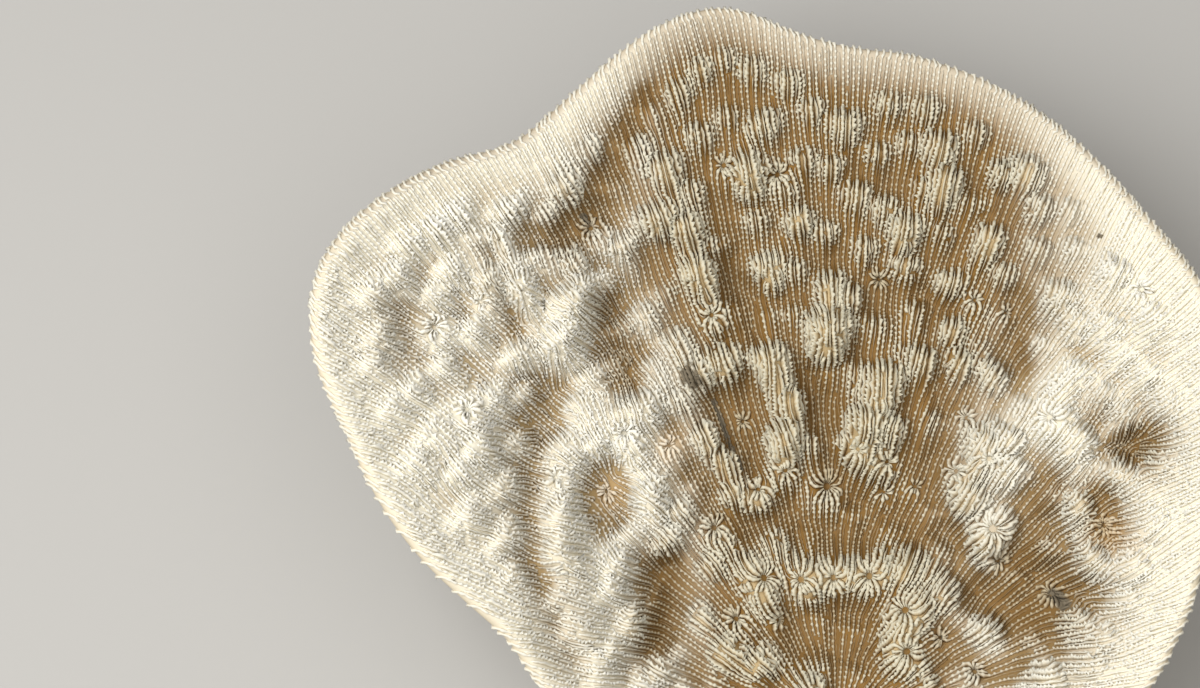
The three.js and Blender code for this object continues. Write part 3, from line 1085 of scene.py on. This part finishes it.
def under_looks(places):
    """Growth bands round the stalk, more stained toward it. Places are in the plate's frame."""
    reach = np.hypot(places[:, 0] - stalk_middle[0], places[:, 1] - stalk_middle[1])
    wave = np.array([noise.noise(Vector(place) / 16) for place in places])
    bands = 0.5 + 0.5 * np.sin(reach / 1.9 + 4 * wave)
    clean_and_lit = np.clip(0.42 + 0.3 * bands * smooth_step(15, 30, reach) + 0.3 * wave, 0, 1)
    stain_and_shade = np.clip(0.2 + 0.5 * wave + 0.35 * smooth_step(40, 16, reach), 0, 1)
    bare = np.zeros(len(places))
    return np.column_stack([clean_and_lit, bare, stain_and_shade, bare])


def costa(blades, line):
    """One costa: a low sharp rib with blunt teeth, which fades toward the stalk."""
    places, normals = lay(line, under_face, COSTA_STEP)
    n = len(places)
    u, v = places[:, 0], places[:, 1]
    tooth = np.arange(n) % 2
    height = (COSTA_HEIGHT + COSTA_TOOTH * tooth) * rng.normal(1, 0.12, n)
    height *= smooth_step(STALK_REACH, STALK_REACH + 16, stalk_distance(u, v)) * 0.8 + 0.2
    foot = np.full(n, 0.2)
    blades.add(places, normals, height, foot, None, np.full(n, 0.9), under_looks(places))


costa_blades = Blades()
for line in costae:
    costa(costa_blades, line)
coral.append(costa_blades.make("costae"))

# %% Look values of the wall
UNDERSIDE_RISE = 0.4  # the bare underside is paler than the grooves
points = to_plate(mesh_points(wall.data))
wall_look = looks_at(points[:, 0], points[:, 1])
inner = smooth_step(0.0, 0.3, normals[:, 2])[:, None]
wall_look = wall_look * inner + under_looks(points) * (1 - inner)
rise = UNDERSIDE_RISE * (1 - inner[:, 0])
set_look(wall.data, np.column_stack([rise, wall_look]))
coral.append(wall)

# %% [markdown]
# ## Finish of the skeleton
# Dry coral stone is matt and finely porous. The crests of the blades are nearly white. The grooves
# between them are tan-brown, partly a real staining that is deepest in the middle, and partly painted
# shade between the blades, which is painted darker in the hollows, in cracks and on the very lip.
# One material serves all the meshes. It reads how high on its blade a place is, how high or low its
# ground lies, how scarred and how stained, from attributes that the cells above wrote.

# %% Coral material
# Tips, ground between the blades, and hollows. The ground and hollow colours are darker and warmer
# than the tips: painted shade, with real staining in the stained colours.
TIP_CLEAN = (0.78, 0.76, 0.685, 1)
TIP_STAINED = (0.60, 0.56, 0.43, 1)
TIP_DEEP_SHADED = (0.46, 0.39, 0.26, 1)
GROUND_CLEAN_SHADED = (0.76, 0.715, 0.59, 1)
GROUND_STAINED_SHADED = (0.22, 0.117, 0.025, 1)
# Painted warm shade in the gaps between the blades on stained crests.
GROUND_CREST_WARM_SHADE = (0.47, 0.355, 0.19, 1)
HOLLOW_SHADE = (0.38, 0.28, 0.14, 1)
HOLLOW_STAINED_SHADE = (0.20, 0.11, 0.03, 1)
# The dark of scarred places: painted shade of their cracks and pits.
SCAR_SHADE_COLOUR = (0.17, 0.14, 0.095, 1)
TINT = (0.78, 0.50, 0.22, 1)
TINT_STRENGTH = 0.22
SCAR_SHADE_PATCHES = 900.0  # per metre
GRAIN = 4200.0  # per metre, so about a quarter of a millimetre


def coral_material(name):
    """Matt stone, coloured by the attributes look and tint."""
    material = bpy.data.materials.new(name)
    material.use_nodes = True
    nodes, links = material.node_tree.nodes, material.node_tree.links
    shader = nodes["Principled BSDF"]
    place = nodes.new("ShaderNodeTexCoord")

    def feed(socket, value):
        """Sets a socket to a plain value, or links an output to it."""
        if isinstance(value, (tuple, float)):
            socket.default_value = value
        else:
            links.new(value, socket)

    def attribute(name):
        node = nodes.new("ShaderNodeAttribute")
        node.attribute_name = name
        return node

    def calculated(operation, first, second):
        node = nodes.new("ShaderNodeMath")
        node.operation = operation
        feed(node.inputs[0], first)
        feed(node.inputs[1], second)
        return node.outputs[0]

    def noise_texture(scale):
        node = nodes.new("ShaderNodeTexNoise")
        feed(node.inputs["Scale"], scale)
        feed(node.inputs["Vector"], place.outputs["Object"])
        return node

    def mix(factor, first, second):
        """A colour between two, which are colours or outputs."""
        node = nodes.new("ShaderNodeMix")
        node.data_type = "RGBA"
        feed(node.inputs["Factor"], factor)
        feed(node.inputs["A"], first)
        feed(node.inputs["B"], second)
        return node.outputs["Result"]

    def between(value, low, high):
        """0 below low and 1 above high."""
        node = nodes.new("ShaderNodeMapRange")
        node.interpolation_type = "SMOOTHSTEP"
        feed(node.inputs["From Min"], low)
        feed(node.inputs["From Max"], high)
        feed(node.inputs["Value"], value)
        return node.outputs["Result"]

    look = attribute("look")
    parts = nodes.new("ShaderNodeSeparateColor")
    feed(parts.inputs["Color"], look.outputs["Color"])
    rise, clean_and_lit, scar_and_shade = (parts.outputs[part] for part in ("Red", "Green", "Blue"))
    stain_and_shade = look.outputs["Alpha"]
    # Low ground takes darker tip, ground and hollow colours: painted shade in the hollows, partly
    # real staining.
    low = between(clean_and_lit, 0.05, 0.5)
    tip = mix(low, mix(stain_and_shade, TIP_CLEAN, TIP_DEEP_SHADED), mix(stain_and_shade, TIP_CLEAN, TIP_STAINED))
    hollow = mix(stain_and_shade, HOLLOW_SHADE, HOLLOW_STAINED_SHADE)
    ground = mix(low, hollow, mix(stain_and_shade, GROUND_CLEAN_SHADED, GROUND_STAINED_SHADED))
    # On the crests the ground between the blades takes the painted warm shade.
    ground = mix(between(clean_and_lit, 0.55, 1.0), ground, mix(stain_and_shade, GROUND_CLEAN_SHADED, GROUND_CREST_WARM_SHADE))
    # Below the tops of the blades the colour goes to the darker ground: painted shade between the
    # blades.
    colour = mix(between(rise, 0.1, 0.95), ground, tip)
    tint = calculated("MULTIPLY", attribute("tint").outputs["Fac"], TINT_STRENGTH)
    colour = mix(tint, colour, TINT)
    # Scarred places are painted dark: the shade of their cracks and pits.
    ragged = calculated("ADD", scar_and_shade, noise_texture(SCAR_SHADE_PATCHES).outputs["Fac"])
    colour = mix(between(ragged, 0.95, 1.25), colour, SCAR_SHADE_COLOUR)
    feed(shader.inputs["Base Color"], colour)
    feed(shader.inputs["Roughness"], 0.75)
    feed(shader.inputs["Specular IOR Level"], 0.3)
    grain = noise_texture(GRAIN)
    feed(grain.inputs["Detail"], 1.0)
    bump = nodes.new("ShaderNodeBump")
    feed(bump.inputs["Strength"], 0.35)
    feed(bump.inputs["Distance"], 0.0001)
    feed(bump.inputs["Height"], grain.outputs["Fac"])
    feed(shader.inputs["Normal"], bump.outputs["Normal"])
    return material


coral_stone = coral_material("coral_stone")
for piece in coral:
    piece.data.materials.clear()
    piece.data.materials.append(coral_stone)
    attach(piece, "root")
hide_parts("corallum")

# %% [markdown]
# ## Floor and light
# A plain pale floor, and a soft light from the left as in the photograph. The thin septa shade
# each other, so a wider light from the camera's side and the pale world fill the gaps.

# %% Stage
bpy.ops.object.select_all(action="DESELECT")
bpy.ops.mesh.primitive_plane_add(size=6.0, location=(0, 0, 0))
floor = bpy.context.object
floor.name = "floor"
floor_material = bpy.data.materials.new("floor_paper")
floor_material.use_nodes = True
floor_shader = floor_material.node_tree.nodes["Principled BSDF"]
floor_shader.inputs["Base Color"].default_value = (0.42, 0.41, 0.39, 1)
floor_shader.inputs["Roughness"].default_value = 0.9
floor.data.materials.append(floor_material)


def area_light(name, place, size, power, aim=(-5, 50, 10)):
    """A square light, its place and aim in the plate's frame."""
    data = bpy.data.lights.new(name, "AREA")
    data.size = size
    data.energy = power
    light = bpy.data.objects.new(name, data)
    bpy.context.scene.collection.objects.link(light)
    light.location = to_row(np.array(place, float))
    way = to_row(np.array(aim, float)) - np.array(light.location)
    light.rotation_euler = Vector(way).to_track_quat("-Z", "Y").to_euler()


area_light("key", (-300, 160, 590), 0.4, 3.7)
area_light("fill", (-40, 80, 760), 0.7, 2.6)

world = bpy.data.worlds.new("studio")
world.use_nodes = True
background = world.node_tree.nodes["Background"]
background.inputs["Color"].default_value = (1, 0.97, 0.92, 1)
background.inputs["Strength"].default_value = 0.42
bpy.context.scene.world = world
bpy.context.scene.view_settings.view_transform = "Standard"
